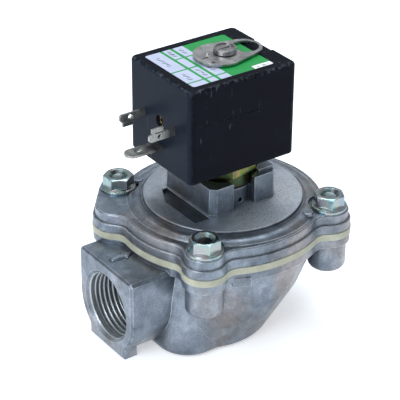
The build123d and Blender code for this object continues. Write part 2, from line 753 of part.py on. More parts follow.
with BuildPart() as coil_housing:
    with BuildSketch(Plane.XY.offset(coil_bottom_z)):
        with Locations((coil_centre_x, 0)):
            RectangleRounded(coil_back_x + coil_front_x, 2 * coil_half_width, coil_corner_r)
    extrude(amount=coil_height)
    fillet(coil_housing.edges().group_by(Axis.Z)[-1], coil_edge_r)
    fillet(coil_housing.edges().group_by(Axis.Z)[0], coil_edge_r / 2)
    # pocket of the nameplate, with a deeper channel that opens towards +X
    with BuildSketch(Plane.XY.offset(coil_top_z)):
        with Locations((label_centre_x, 0)):
            RectangleRounded(label_length, label_width, label_corner_r)
    extrude(amount=-label_pocket, mode=Mode.SUBTRACT)
    with BuildSketch(Plane.XY.offset(coil_top_z)):
        Rectangle(2 * coil_front_x, label_channel, align=(Align.MIN, Align.CENTER))
    extrude(amount=-label_channel_depth, mode=Mode.SUBTRACT)
    with BuildSketch(Plane.XY.offset(coil_top_z - parting_share * coil_height)):
        with Locations((coil_centre_x, 0)):
            Rectangle(2 * coil_back_x, 4 * coil_half_width)
            RectangleRounded(
                coil_back_x + coil_front_x - 2 * parting_depth,
                2 * (coil_half_width - parting_depth),
                coil_corner_r,
                mode=Mode.SUBTRACT,
            )
        with Locations((-coil_back_x, 0)):
            Rectangle(2 * coil_corner_r, 4 * coil_half_width, mode=Mode.SUBTRACT)
    extrude(amount=parting_width, mode=Mode.SUBTRACT)
    with BuildSketch(Plane.XY.offset(cavity_z)):
        with Locations((frame_back_x, 0)):
            Rectangle(frame_back_x + frame_open_x, frame_width, align=(Align.MAX, Align.CENTER))
    extrude(amount=cavity_top_z - cavity_z, mode=Mode.SUBTRACT)
    with Locations((0, 0, label_z)):
        Hole(coil_bore_r, label_z - coil_bottom_z)
    # seats of the screw insert and the three blades
    with BuildSketch(terminal_plane):
        with Locations((0, line_z)):
            Circle(insert_r)
    extrude(amount=-insert_depth, mode=Mode.SUBTRACT)
    with BuildSketch(terminal_plane):
        with Locations((-line_pitch / 2, line_z), (line_pitch / 2, line_z)):
            Rectangle(blade_t, line_height)
        with Locations((0, earth_z)):
            Rectangle(earth_width, blade_t)
    extrude(amount=-blade_root, mode=Mode.SUBTRACT)
coil_housing.part.label = "coil_housing"

with BuildPart() as flux_frame:
    with BuildSketch(Plane.XZ):
        with Locations((frame_back_x, (cavity_z + cavity_top_z) / 2)):
            Rectangle(
                frame_back_x + frame_open_x,
                cavity_top_z - cavity_z,
                align=(Align.MAX, Align.CENTER),
            )
        with Locations((frame_back_x - frame_t, (cavity_z + cavity_top_z) / 2)):
            Rectangle(
                frame_back_x + frame_open_x,
                cavity_top_z - cavity_z - 2 * frame_t,
                align=(Align.MAX, Align.CENTER),
                mode=Mode.SUBTRACT,
            )
    extrude(amount=frame_width / 2, both=True)
    with Locations((0, 0, cavity_top_z)):
        Hole(coil_bore_r, cavity_top_z - cavity_z)
flux_frame.part.label = "flux_frame"

bobbin_z = cavity_z + frame_t
bobbin_height = cavity_top_z - cavity_z - 2 * frame_t
with BuildPart(Plane.XY.offset(bobbin_z)) as coil_bobbin:
    Cylinder(bobbin_tube_r, bobbin_height, align=BOTTOM_UP)
    Cylinder(bobbin_r, bobbin_wall, align=BOTTOM_UP)
    with Locations((0, 0, bobbin_height)):
        Cylinder(bobbin_r, bobbin_wall, align=(Align.CENTER, Align.CENTER, Align.MAX))
        Hole(coil_bore_r, bobbin_height)
coil_bobbin.part.label = "coil_bobbin"

with BuildPart(Plane.XY.offset(bobbin_z + bobbin_wall)) as coil_winding:
    Cylinder(winding_r, bobbin_height - 2 * bobbin_wall, align=BOTTOM_UP)
    Cylinder(bobbin_tube_r, bobbin_height, align=BOTTOM_UP, mode=Mode.SUBTRACT)
coil_winding.part.label = "coil_winding"

for number, (side, flip) in enumerate(((1, 1), (-1, -1)), start=1):
    # The two line terminals are the same blade, one of them turned over
    with BuildPart() as line_terminal:
        with BuildSketch(
            Plane(
                origin=(-coil_back_x, side * line_pitch / 2, line_z),
                x_dir=(-1, 0, 0),
                z_dir=(0, flip, 0),
            )
        ):
            with Locations((-blade_root, 0)):
                Rectangle(blade_root + line_length, line_height, align=(Align.MIN, Align.CENTER))
            with Locations((line_ear_start, -line_height / 2)):
                Rectangle(line_ear_length, line_ear_height, align=(Align.MIN, Align.MAX))
                Rectangle(
                    line_slit_length,
                    line_slit_width,
                    align=(Align.MIN, Align.MAX),
                    mode=Mode.SUBTRACT,
                )
            with Locations((line_hole_reach, 0)):
                Circle(line_hole_r, mode=Mode.SUBTRACT)
        extrude(amount=blade_t / 2, both=True)
        tip = line_terminal.edges().filter_by(Axis.Y).group_by(Axis.X)[0]
        chamfer(tip, line_tip_cut)
    line_terminal.part.label = f"line_terminal_{number}"
    export_step(line_terminal.part, f"parts/line_terminal_{number}.step")

with BuildPart() as earth_terminal:
    with BuildSketch(Plane.XY.offset(earth_z)):
        with Locations((-coil_back_x + blade_root, 0)):
            Rectangle(
                blade_root + earth_length - earth_width / 2,
                earth_width,
                align=(Align.MAX, Align.CENTER),
            )
        with Locations((-coil_back_x - earth_length + earth_width / 2, 0)):
            Circle(earth_width / 2)
        with Locations((-coil_back_x - earth_hole_reach, 0)):
            SlotOverall(earth_hole_length, earth_hole_width, mode=Mode.SUBTRACT)
    extrude(amount=blade_t / 2, both=True)
earth_terminal.part.label = "earth_terminal"

with BuildPart() as connector_insert:
    with BuildSketch(terminal_plane.offset(-insert_depth)):
        with Locations((0, line_z)):
            Circle(insert_r)
            Circle(insert_hole_r, mode=Mode.SUBTRACT)
    extrude(amount=insert_depth - insert_recess)
connector_insert.part.label = "connector_insert"

with BuildPart() as nameplate:
    with BuildSketch(Plane.XY.offset(label_z)):
        with Locations((label_centre_x, 0)):
            RectangleRounded(
                label_length - 2 * label_slip, label_width - 2 * label_slip, label_corner_r
            )
        Circle(coil_bore_r, mode=Mode.SUBTRACT)
    extrude(amount=label_t)
nameplate.part.label = "nameplate"

# Retaining clip: a keyhole plate under the plug's button
with BuildPart() as retaining_clip:
    with BuildSketch(Plane.XY.offset(clip_z)):
        with Locations((clip_wide_x, 0)):
            Circle(clip_wide_r)
        with Locations((clip_narrow_x, 0)):
            Circle(clip_narrow_r)
        make_hull()
        Circle(neck_r + clip_slot_gap, mode=Mode.SUBTRACT)
        Rectangle(
            clip_eye_x,
            2 * (neck_r + clip_slot_gap),
            align=(Align.MIN, Align.CENTER),
            mode=Mode.SUBTRACT,
        )
        with Locations((clip_eye_x, 0)):
            Circle(clip_eye_r, mode=Mode.SUBTRACT)
        with Locations((clip_slit_x, clip_slit_y)):
            SlotOverall(clip_slit_length, clip_slit_width, mode=Mode.SUBTRACT)
        with Locations((clip_hole_x, clip_hole_y)):
            Circle(clip_hole_r, mode=Mode.SUBTRACT)
    extrude(amount=clip_t)
    with Locations((clip_bump_x, clip_bump_y, clip_z + clip_t)):
        Sphere(clip_bump_r, arc_size1=0)
retaining_clip.part.label = "retaining_clip"

export_step(valve_body.part, "parts/valve_body.step")
export_step(diaphragm.part, "parts/diaphragm.step")
export_step(bonnet.part, "parts/bonnet.step")
export_step(solenoid_base.part, "parts/solenoid_base.step")
export_step(base_gasket.part, "parts/base_gasket.step")
export_step(spring_washer.part, "parts/spring_washer.step")
export_step(core_tube.part, "parts/core_tube.step")
export_step(plug.part, "parts/plug.step")
export_step(shading_ring.part, "parts/shading_ring.step")
export_step(core.part, "parts/core.step")
export_step(core_seal.part, "parts/core_seal.step")
export_step(core_spring.part, "parts/core_spring.step")
export_step(backing_plate.part, "parts/backing_plate.step")
export_step(retainer.part, "parts/retainer.step")
export_step(diaphragm_rivet.part, "parts/diaphragm_rivet.step")
export_step(diaphragm_spring.part, "parts/diaphragm_spring.step")
export_step(coil_housing.part, "parts/coil_housing.step")
export_step(flux_frame.part, "parts/flux_frame.step")
export_step(coil_bobbin.part, "parts/coil_bobbin.step")
export_step(coil_winding.part, "parts/coil_winding.step")
export_step(earth_terminal.part, "parts/earth_terminal.step")
export_step(connector_insert.part, "parts/connector_insert.step")
export_step(nameplate.part, "parts/nameplate.step")
export_step(retaining_clip.part, "parts/retaining_clip.step")
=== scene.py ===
"""Looks of the dust collector pulse valve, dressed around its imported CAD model. Metres."""

import json
import math

import bmesh
import bpy
from mathutils import Matrix, Vector


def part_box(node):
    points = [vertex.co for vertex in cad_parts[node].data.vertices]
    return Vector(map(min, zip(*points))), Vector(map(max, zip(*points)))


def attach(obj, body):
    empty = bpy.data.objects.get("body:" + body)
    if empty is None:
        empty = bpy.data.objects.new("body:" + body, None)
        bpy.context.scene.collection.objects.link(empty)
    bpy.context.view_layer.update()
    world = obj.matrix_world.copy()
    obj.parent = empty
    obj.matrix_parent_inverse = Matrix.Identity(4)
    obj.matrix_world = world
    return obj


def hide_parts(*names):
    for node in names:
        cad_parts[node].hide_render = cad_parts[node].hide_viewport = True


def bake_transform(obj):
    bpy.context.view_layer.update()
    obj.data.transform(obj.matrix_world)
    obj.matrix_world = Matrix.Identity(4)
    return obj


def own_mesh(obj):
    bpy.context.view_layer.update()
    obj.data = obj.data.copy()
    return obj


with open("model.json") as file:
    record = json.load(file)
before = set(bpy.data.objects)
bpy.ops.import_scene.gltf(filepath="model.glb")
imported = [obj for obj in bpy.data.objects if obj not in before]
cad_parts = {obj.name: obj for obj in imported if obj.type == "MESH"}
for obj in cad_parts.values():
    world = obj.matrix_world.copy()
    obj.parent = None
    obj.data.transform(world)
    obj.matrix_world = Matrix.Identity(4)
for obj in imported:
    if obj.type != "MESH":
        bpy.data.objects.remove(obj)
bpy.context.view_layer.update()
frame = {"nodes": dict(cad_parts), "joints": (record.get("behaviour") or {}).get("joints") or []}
nodes = frame["nodes"]
mm = 0.001

# Places on the part that the looks refer to; the thread's root is sunk into the bore's wall
inlet_z = 16.75 * mm
socket_top_z = 33.8 * mm
flange_z = 45.0 * mm
disc_z = 47.4 * mm
bolt_top_z = 50.5 * mm
base_neck_z = 58.2 * mm
thread_root_r = 12.3 * mm
bore_end_x = -33.5 * mm


# How finishes are written


class Value:
    """One output of a node, with arithmetic for numbers."""

    def __init__(self, owner, socket):
        self.owner = owner
        self.socket = socket

    def maths(self, operation, *terms):
        return self.owner.node("Math", {"operation": operation}, dict(enumerate(terms)))

    def __add__(self, other):
        return self.maths("ADD", self, other)

    def __sub__(self, other):
        return self.maths("SUBTRACT", self, other)

    def __rsub__(self, other):
        return self.maths("SUBTRACT", other, self)

    def __mul__(self, other):
        return self.maths("MULTIPLY", self, other)

    def __pow__(self, other):
        return self.maths("POWER", self, other)

    def __abs__(self):
        return self.maths("ABSOLUTE", self)

    def most(self, other):
        return self.maths("MAXIMUM", self, other)

    def step(self, low, high):
        """0 below low and 1 above high, smooth between; falls where low is the higher."""
        settings = {"interpolation_type": "SMOOTHSTEP"}
        if low > high:
            return 1 - self.step(high, low)
        return self.owner.node("MapRange", settings, {"Value": self, 1: low, 2: high})

    def band(self, low, high, soft):
        """1 between low and high, falling to 0 over soft on either side of each."""
        return self.step(low - soft, low + soft) * self.step(high + soft, high - soft)

    def scaled(self, low, high):
        """A value from 0 to 1 spread over low to high."""
        return self * (high - low) + low


class Nodes:
    """The node tree of a material or of the world."""

    def __init__(self, tree):
        self.tree = tree

    def node(self, kind, settings=None, sockets=None, output=0):
        """One node: its settings are set first, then the values or links of its sockets."""
        made = self.tree.nodes.new("ShaderNode" + kind)
        for key, value in (settings or {}).items():
            if key == "stops":
                ramp = made.color_ramp.elements
                while len(ramp) < len(value):
                    ramp.new(1.0)
                for stop, (position, colour) in zip(ramp, value):
                    stop.position, stop.color = position, (*colour, 1)
            else:
                setattr(made, key, value)
        for key, value in (sockets or {}).items():
            self.feed(made.inputs[key], value)
        return made if output is None else Value(self, made.outputs[output])

    def feed(self, socket, value):
        if isinstance(value, Value):
            self.tree.links.new(value.socket, socket)
        elif socket.type == "RGBA" and len(value) == 3:
            socket.default_value = (*value, 1)
        else:
            socket.default_value = value


class Finish(Nodes):
    """A material that is made of nodes, with its constants on the shader's own sockets."""

    def __init__(self, name, **constants):
        self.material = bpy.data.materials.new(name)
        self.material.use_nodes = True
        super().__init__(self.material.node_tree)
        self.shader = self.tree.nodes["Principled BSDF"]
        for socket, value in constants.items():
            self.shader.inputs[socket.replace("_", " ")].default_value = value
        self.place = self.node("TexCoord", output="Object")
        axes = self.node("SeparateXYZ", {}, {0: self.place}, output=None)
        self.x, self.y, self.z = (Value(self, axes.outputs[i]) for i in range(3))

    def set(self, **inputs):
        for socket, value in inputs.items():
            self.feed(self.shader.inputs[socket.replace("_", " ")], value)
        return self

    def stretched(self, scale, turn=(0, 0, 0)):
        """The object's coordinates with one scale for each axis."""
        return self.node("Mapping", {}, {0: self.place, 2: turn, 3: scale})

    def noise(self, scale, detail=3.0, rough=0.5, place=None, distortion=0.0):
        sockets = {"Vector": place or self.place, "Scale": scale, "Detail": detail}
        sockets |= {"Roughness": rough, "Distortion": distortion}
        return self.node("TexNoise", {}, sockets)

    def cells(self, scale):
        """Distance to the nearest of scattered points."""
        return self.node("TexVoronoi", {}, {"Vector": self.place, "Scale": scale})

    def mix(self, share, a, b):
        settings = {"data_type": "RGBA"}
        return self.node("Mix", settings, {"Factor": share, 6: a, 7: b}, output=2)

    def ramp(self, value, *stops):
        return self.node("ValToRGB", {"stops": stops}, {0: value})

    def relief(self, height, strength, distance, under=None):
        """Bump of a height from 0 to 1 that stands distance metres proud."""
        sockets = {"Height": height, "Strength": strength, "Distance": distance}
        if under is not None:
            sockets["Normal"] = under
        return self.node("Bump", {}, sockets)

    def rounded(self, radius):
        """The normal with its edges rounded off, and how much an edge turns it there."""
        soft = self.node("Bevel", {"samples": 6}, {"Radius": radius})
        plain = self.node("NewGeometry", output="Normal")
        turned = self.node("VectorMath", {"operation": "DOT_PRODUCT"}, {0: soft, 1: plain}, output=1)
        return soft, turned.step(0.985, 0.90)

    def upward(self):
        """How far a face points up, from -1 to 1."""
        way = self.node("NewGeometry", output="Normal")
        return self.node("SeparateXYZ", {}, {0: way}, output="Z")

    def open_air(self, reach):
        """1 where nothing is near, falling towards 0 deep in a corner."""
        settings = {"samples": 8, "only_local": True}
        return self.node("AmbientOcclusion", settings, {"Distance": reach}, output=1)

    def patch(self, left, right, low, high, soft=0.04 * mm):
        """1 inside a rectangle in x and y, given in millimetres."""
        return self.x.band(left * mm, right * mm, soft) * self.y.band(low * mm, high * mm, soft)

    def patches(self, fields, soft=0.04 * mm):
        """1 inside any of several rectangles."""
        inside = self.patch(*fields[0], soft)
        for field in fields[1:]:
            inside = inside.most(self.patch(*field, soft))
        return inside


# Finishes


def cast_aluminium():
    """Die-cast aluminium as it leaves the tool: cloudy, drawn in streaks, with edges painted bright,
    part wear and part highlight, and painted shade in its corners.
    """
    cast = Finish("cast_aluminium", Metallic=0.9)
    cloud = cast.noise(52, 6, 0.64, distortion=0.6)
    blotch = cast.noise(210, 4, 0.6, distortion=0.5)
    stain = cast.noise(24, 4, 0.55, distortion=0.4)
    flow = cast.noise(1.0, 5, 0.62, cast.stretched((380, 380, 110)))
    skin = cast.noise(1500, 4, 0.7)
    pits = cast.cells(380).step(0.17, 0.06) * cast.noise(80).step(0.46, 0.6)
    soft, edge = cast.rounded(0.5 * mm)
    air = cast.open_air(2.4 * mm)
    tone = cloud * 0.4 + blotch * 0.28 + flow * 0.12 + skin * 0.2
    cool = cast.ramp(
        tone,
        (0.37, (0.095, 0.115, 0.145)),
        (0.5, (0.19, 0.225, 0.27)),
        (0.63, (0.33, 0.38, 0.44)),
    )
    warm = cast.ramp(
        tone,
        (0.37, (0.12, 0.112, 0.112)),
        (0.5, (0.225, 0.213, 0.217)),
        (0.63, (0.36, 0.352, 0.363)),
    )
    colour = cast.mix(stain.step(0.42, 0.6), cool, warm)
    # painted highlight and wear: edges are painted bright in patches, away from the corners
    wear_and_highlight = edge * air.step(0.5, 0.75) * blotch.step(0.28, 0.5)
    colour = cast.mix(wear_and_highlight * 0.75, colour, (0.72, 0.75, 0.80))
    # painted shade: the pocket beside the guard is painted dark, as shade in the recess
    pocket_shade = cast.patch(-21.7, -15.0, -13.7, 13.7, 0.15 * mm)
    below_disc = cast.z.step(disc_z - 0.15 * mm, disc_z - 0.4 * mm)
    above_flange = cast.z.step(flange_z + 0.2 * mm, flange_z + 0.4 * mm)
    pocket_shade = pocket_shade * below_disc * above_flange
    colour = cast.mix(pocket_shade * 0.72, colour, (0.055, 0.068, 0.078))
    # the disc's face is paler and duller, with a grain on its front and its right, which are also
    # painted paler as painted light
    disc = cast.z.band(disc_z - 0.075 * mm, disc_z + 0.075 * mm, 0.025 * mm)
    painted_light_front_right = (cast.x * 0.6 - cast.y).step(6 * mm, 20 * mm)
    grain_and_painted_light = painted_light_front_right * skin.step(0.3, 0.66) * 0.6
    colour = cast.mix(disc * (blotch.scaled(0.1, 0.6) + grain_and_painted_light), colour, (0.42, 0.46, 0.51))
    # the inlet's bore is cut bright
    above_axis = cast.z - inlet_z
    off_axis = (cast.y * cast.y + above_axis * above_axis) ** 0.5
    bored = off_axis.step(thread_root_r + 0.2 * mm, thread_root_r)
    bored = bored * cast.x.step(bore_end_x + 0.5 * mm, bore_end_x - 0.5 * mm)
    colour = cast.mix(bored * 0.85, colour, (0.52, 0.56, 0.58))
    # painted shade: darker in corners and recesses, where the occlusion falls
    crevice_shade = air.step(0.85, 0.3) * cloud.scaled(0.55, 0.95)
    colour = cast.mix(crevice_shade, colour, (0.055, 0.06, 0.07))
    colour = cast.mix(pits * 0.7, colour, (0.05, 0.055, 0.065))
    skin_bump = cast.relief(skin, 0.45, 0.035 * mm, soft)
    bump = cast.relief(cloud * 0.7 + flow * 0.3 - pits * 0.5, 0.35, 0.3 * mm, skin_bump)
    return cast.set(
        Base_Color=colour,
        Metallic=0.9 - disc * grain_and_painted_light,
        Roughness=tone.scaled(0.52, 0.24) + crevice_shade * 0.2 + disc * 0.12,
        Normal=bump,
    ).material


def cut_aluminium():
    """Freshly cut aluminium of the pipe threads."""
    cut = Finish("cut_aluminium", Metallic=1.0)
    chatter = cut.noise(1.0, 3, 0.6, cut.stretched((300, 1400, 1400)))
    tint = cut.noise(160, 3)
    return cut.set(
        Base_Color=cut.mix(tint, (0.36, 0.39, 0.41), (0.54, 0.57, 0.59)),
        Roughness=chatter.scaled(0.34, 0.56),
        Normal=cut.relief(chatter, 0.3, 0.04 * mm),
    ).material


def cream_elastomer():
    """Cream rubber of the diaphragm, blotchy and a little translucent."""
    seal = Finish("cream_elastomer", Subsurface_Weight=0.06, Subsurface_Scale=0.4 * mm)
    blotch = seal.noise(160, 5, 0.6)
    colour = seal.ramp(
        blotch, (0.3, (0.36, 0.37, 0.28)), (0.55, (0.47, 0.475, 0.37)), (0.75, (0.57, 0.57, 0.46))
    )
    return seal.set(
        Base_Color=colour,
        Roughness=blotch.scaled(0.42, 0.62),
        Normal=seal.relief(seal.noise(2400, 3), 0.25, 0.03 * mm),
    ).material


def zinc_plated_steel():
    """Bright zinc with the faint rainbow of its clear passivation, with painted shade in the bolts'
    dishes, painted highlights on its edges and painted shade in its corners.
    """
    zinc = Finish("zinc_plated_steel", Metallic=1.0)
    drift = zinc.noise(170, 3, 0.5, distortion=0.6)
    fine = zinc.noise(1500, 3)
    soft, edge = zinc.rounded(0.22 * mm)
    air = zinc.open_air(1.6 * mm)
    colour = zinc.ramp(
        drift,
        (0.34, (0.12, 0.22, 0.26)),
        (0.44, (0.24, 0.36, 0.40)),
        (0.52, (0.33, 0.41, 0.38)),
        (0.60, (0.38, 0.35, 0.37)),
        (0.70, (0.22, 0.36, 0.42)),
    )
    # painted shade: the up-facing faces in the heads' dishes are painted dark
    below_top = zinc.z.step(bolt_top_z - 0.4 * mm, bolt_top_z - 0.7 * mm)
    above_foot = zinc.z.step(bolt_top_z - 1.6 * mm, bolt_top_z - 1.4 * mm)
    dish_shade = zinc.upward().step(0.4, 0.6) * below_top * above_foot
    colour = zinc.mix(dish_shade * drift.step(0.7, 0.4) * 0.8, colour, (0.05, 0.09, 0.10))
    # painted highlight on the edges and painted shade in the corners
    colour = zinc.mix(edge * 0.5, colour, (0.68, 0.70, 0.70))
    colour = zinc.mix(air.step(0.8, 0.25) * 0.75, colour, (0.06, 0.075, 0.07))
    return zinc.set(
        Base_Color=colour,
        Roughness=drift.scaled(0.16, 0.32) + fine * 0.08,
        Normal=zinc.relief(fine, 0.2, 0.03 * mm, soft),
    ).material


def yellow_zinc_steel():
    """Yellow chromate over zinc, drifting from lemon to green and rose; the neck and the side
    towards the terminals are painted dark as shade under the coil.
    """
    chromate = Finish("yellow_zinc_steel", Metallic=0.9)
    drift = chromate.noise(240, 3, 0.5, distortion=0.8)
    fine = chromate.noise(1300, 3)
    soft, edge = chromate.rounded(0.25 * mm)
    air = chromate.open_air(2.0 * mm)
    colour = chromate.ramp(
        drift,
        (0.36, (0.34, 0.66, 0.34)),
        (0.45, (0.60, 0.76, 0.18)),
        (0.53, (0.84, 0.80, 0.20)),
        (0.62, (0.84, 0.60, 0.36)),
        (0.70, (0.72, 0.78, 0.24)),
    )
    # painted shade: the neck under the coil is painted dark
    neck_shade = chromate.z.step(base_neck_z + 0.4 * mm, base_neck_z - 0.4 * mm)
    colour = chromate.mix(neck_shade * 0.85, colour, (0.05, 0.058, 0.03))
    # painted shade: towards the terminals the hexagon is painted dark, as the side under the coil
    # away from the light
    terminal_side_shade = chromate.x.step(-0.5 * mm, -5 * mm)
    colour = chromate.mix(terminal_side_shade * 0.85, colour, (0.03, 0.035, 0.018))
    # painted highlight on the edges and painted shade in the corners
    colour = chromate.mix(edge * 0.4, colour, (0.82, 0.80, 0.52))
    colour = chromate.mix(air.step(0.8, 0.3) * 0.8, colour, (0.02, 0.022, 0.015))
    return chromate.set(
        Base_Color=colour,
        Roughness=fine.scaled(0.24, 0.42),
        Normal=chromate.relief(fine, 0.15, 0.03 * mm, soft),
    ).material


def black_moulding():
    """Black thermoset of the coil, with a fine grain, finger marks and rubbed corners."""
    black = Finish("black_moulding", Specular_IOR_Level=0.045)
    grain = black.noise(2600, 3, 0.6)
    smear = black.noise(1.0, 4, 0.6, black.stretched((70, 70, 130), (0.3, 0.5, 0.2)))
    scratch = black.noise(1.0, 2, 0.5, black.stretched((900, 900, 60), (0.5, 0.2, 0.9)))
    scratch = scratch.step(0.66, 0.7) * smear.step(0.5, 0.62)
    coil_low, coil_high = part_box("coil_housing")
    middle, half = (coil_low + coil_high) / 2, (coil_high - coil_low) / 2
    near_x, near_y, near_z = (
        abs(axis - middle[i]).step(half[i] - 1.6 * mm, half[i] - 0.1 * mm)
        for i, axis in enumerate((black.x, black.y, black.z))
    )
    corner = (near_x * near_y).most(near_y * near_z).most(near_x * near_z)
    upper = black.z.step(coil_high.z - 3 * mm, coil_high.z - 1.5 * mm).scaled(0.3, 1.0)
    rubbed = corner * black.noise(700, 4, 0.7).step(0.45, 0.75)
    soft, edge = black.rounded(0.3 * mm)
    rubbed = rubbed.most(edge * black.noise(420, 4, 0.7).step(0.42, 0.6) * 0.8) * upper
    colour = black.mix(smear.step(0.4, 0.75) * 0.5, (0.0035, 0.0046, 0.0085), (0.007, 0.009, 0.016))
    # painted light: the side that carries the terminals is painted lighter and bluish, as light from
    # the left falls on it
    painted_light_side = black.x.step(coil_low.x + 0.9 * mm, coil_low.x + 0.4 * mm) * smear.scaled(0.55, 1.0)
    colour = black.mix(painted_light_side, colour, (0.012, 0.018, 0.030))
    colour = black.mix(rubbed * 0.6 + scratch * 0.3, colour, (0.16, 0.18, 0.21))
    return black.set(
        Base_Color=colour,
        Roughness=smear.scaled(0.32, 0.5) + rubbed * 0.12,
        Normal=black.relief(grain, 0.3, 0.035 * mm, soft),
    ).material


# Fields of the label: left, right, low and high, in millimetres
pale_cells = ((-24, -17, -15, 15), (-15.9, -12.9, -15, 15), (-11.7, -7.6, -15, 15))
green_rules = ((-24, -11.7, -2.0, -1.2), (-24, -7, -11.6, -10.9), (-17, -7, 6.2, 6.9))
white_strip = (2.2, 10, -15, -12.2)
print_bars = (
    (-15.1, -13.7, 8.4, 13.4),
    (-15.0, -13.8, -9.6, -3.4),
    (-10.6, -9.4, 8.6, 13.2),
    (-10.6, -9.4, -8.8, -3.6),
    (-21.2, -19.8, 3.0, 11.0),
    (-21.2, -19.8, -9.4, -4.2),
    (3.4, 8.6, -14.1, -13.2),
)


def nameplate_film():
    """Printed film with plain colour fields and short bars that can't be read."""
    film = Finish("label_film", Coat_Weight=0.12, Coat_Roughness=0.2, Specular_IOR_Level=0.3)
    shade = film.noise(320, 3)
    green = film.mix(shade, (0.006, 0.235, 0.045), (0.012, 0.305, 0.07))
    pale = film.mix(shade, (0.41, 0.46, 0.62), (0.53, 0.58, 0.73))
    cells = (film.patches(pale_cells) - film.patches(green_rules)).most(0)
    colour = film.mix(cells, green, pale)
    colour = film.mix(film.patch(*white_strip), colour, (0.78, 0.80, 0.84))
    dashes = film.node(
        "TexWave",
        {"bands_direction": "DIAGONAL"},
        {"Vector": film.place, "Scale": 260, "Distortion": 9, "Detail": 2},
    ).step(0.3, 0.6)
    bars = film.patches(print_bars, 0.1 * mm)
    colour = film.mix(bars * dashes * 0.75, colour, (0.07, 0.075, 0.10))
    return film.set(
        Base_Color=colour,
        Roughness=shade.scaled(0.3, 0.42),
        Normal=film.relief(film.noise(900, 2), 0.12, 0.03 * mm),
    ).material


def sheet_metal(name, dark, light, roughness, turn=0.0, grain=0.02 * mm):
    """Rolled or plated sheet with the fine lines of its rolling direction."""
    sheet = Finish(name, Metallic=1.0)
    lines = sheet.noise(1.0, 4, 0.6, sheet.stretched((3600, 160, 160), (0, 0, turn)))
    tarnish = sheet.noise(225, 4, 0.6, distortion=0.5)
    tone = (lines * 0.5 + tarnish * 0.5).step(0.3, 0.7)
    soft, edge = sheet.rounded(0.12 * mm)
    air = sheet.open_air(0.8 * mm)
    colour = sheet.mix(tone, dark, light)
    # painted highlight on the edges and painted shade in the corners
    colour = sheet.mix(edge * 0.6, colour, (0.70, 0.70, 0.69))
    colour = sheet.mix(air.step(0.8, 0.3) * 0.7, colour, (0.03, 0.03, 0.03))
    return sheet.set(
        Base_Color=colour,
        Roughness=tone.scaled(*roughness),
        Normal=sheet.relief(lines * 0.7 + sheet.noise(900, 3) * 0.3, 0.25, grain, soft),
    ).material


def soft_moulding(name, dark, light, roughness):
    """Plain moulded rubber or plastic with a fine skin."""
    soft = Finish(name)
    blotch = soft.noise(150, 4, 0.6)
    return soft.set(
        Base_Color=soft.mix(blotch, dark, light),
        Roughness=blotch.scaled(*roughness),
        Normal=soft.relief(soft.noise(2200, 3), 0.25, 0.03 * mm),
    ).material


def copper_winding():
    """Enamelled wire in close turns around the coil's axis."""
    wire = Finish("copper", Metallic=0.9)
    wire_pitch = 0.35 * mm
    turns = wire.node(
        "TexWave",
        {"bands_direction": "Z", "wave_profile": "SIN"},
        {"Vector": wire.place, "Scale": math.pi / (20 * wire_pitch), "Distortion": 0.4},
    )
    tint = wire.noise(260, 3)
    return wire.set(
        Base_Color=wire.mix(tint, (0.42, 0.14, 0.05), (0.62, 0.26, 0.10)),
        Roughness=turns.scaled(0.42, 0.26),
        Normal=wire.relief(turns, 0.6, 0.12 * mm),
    ).material


def slot_of(material):
    """The slot's name that a material carries, without the number added to a double."""
    return material.name.split(".")[0]


finishes = {
    slot_of(material): material
    for material in (
        cast_aluminium(),
        cut_aluminium(),
        cream_elastomer(),
        zinc_plated_steel(),
        yellow_zinc_steel(),
        black_moulding(),
        nameplate_film(),
        sheet_metal("tinned_blade", (0.16, 0.165, 0.16), (0.46, 0.47, 0.45), (0.26, 0.5)),
        sheet_metal("clip_steel", (0.25, 0.25, 0.26), (0.50, 0.49, 0.49), (0.28, 0.45), 0.2),
        sheet_metal(
            "stainless_steel",
            (0.26, 0.26, 0.27),
            (0.48, 0.47, 0.47),
            (0.24, 0.4),
            grain=0.005 * mm,
        ),
        sheet_metal("spring_steel", (0.30, 0.30, 0.31), (0.55, 0.55, 0.56), (0.2, 0.38)),
        sheet_metal("frame_steel", (0.22, 0.23, 0.25), (0.42, 0.43, 0.45), (0.34, 0.5)),
        sheet_metal("brass", (0.52, 0.36, 0.10), (0.72, 0.54, 0.20), (0.2, 0.36)),
        soft_moulding("black_rubber", (0.012, 0.012, 0.013), (0.03, 0.03, 0.032), (0.5, 0.7)),
        soft_moulding("nylon", (0.50, 0.47, 0.38), (0.62, 0.59, 0.50), (0.4, 0.55)),
        copper_winding(),
    )
}
for node in nodes.values():
    for place in node.material_slots:
        place.material = finishes[slot_of(place.material)]


# Pieces that the CAD model leaves to the looks


def mesh_of(name, shape):
    """Turns a bmesh into a mesh and frees it."""
    mesh = bpy.data.meshes.new(name)
    shape.to_mesh(mesh)
    shape.free()
    return mesh


def placed(name, data):
    """A new object of the scene, at the origin."""
    made = bpy.data.objects.new(name, data)
    bpy.context.collection.objects.link(made)
    return made


def finished(name, shape, body, slot, finish=None, smooth=True):
    """Closes a bmesh into a piece at the origin that rides on a body."""
    bmesh.ops.recalc_face_normals(shape, faces=shape.faces)
    mesh = mesh_of(name, shape)
    mesh.polygons.foreach_set("use_smooth", [smooth] * len(mesh.polygons))
    mesh.materials.append(finishes[finish or slot])
    made = placed(name, mesh)
    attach(made, body)
    return made


def ring_of(shape, points):
    """Adds a closed loop of edges through points."""
    corners = [shape.verts.new(point) for point in points]
    for a, b in zip(corners, corners[1:] + corners[:1]):
        shape.edges.new((a, b))


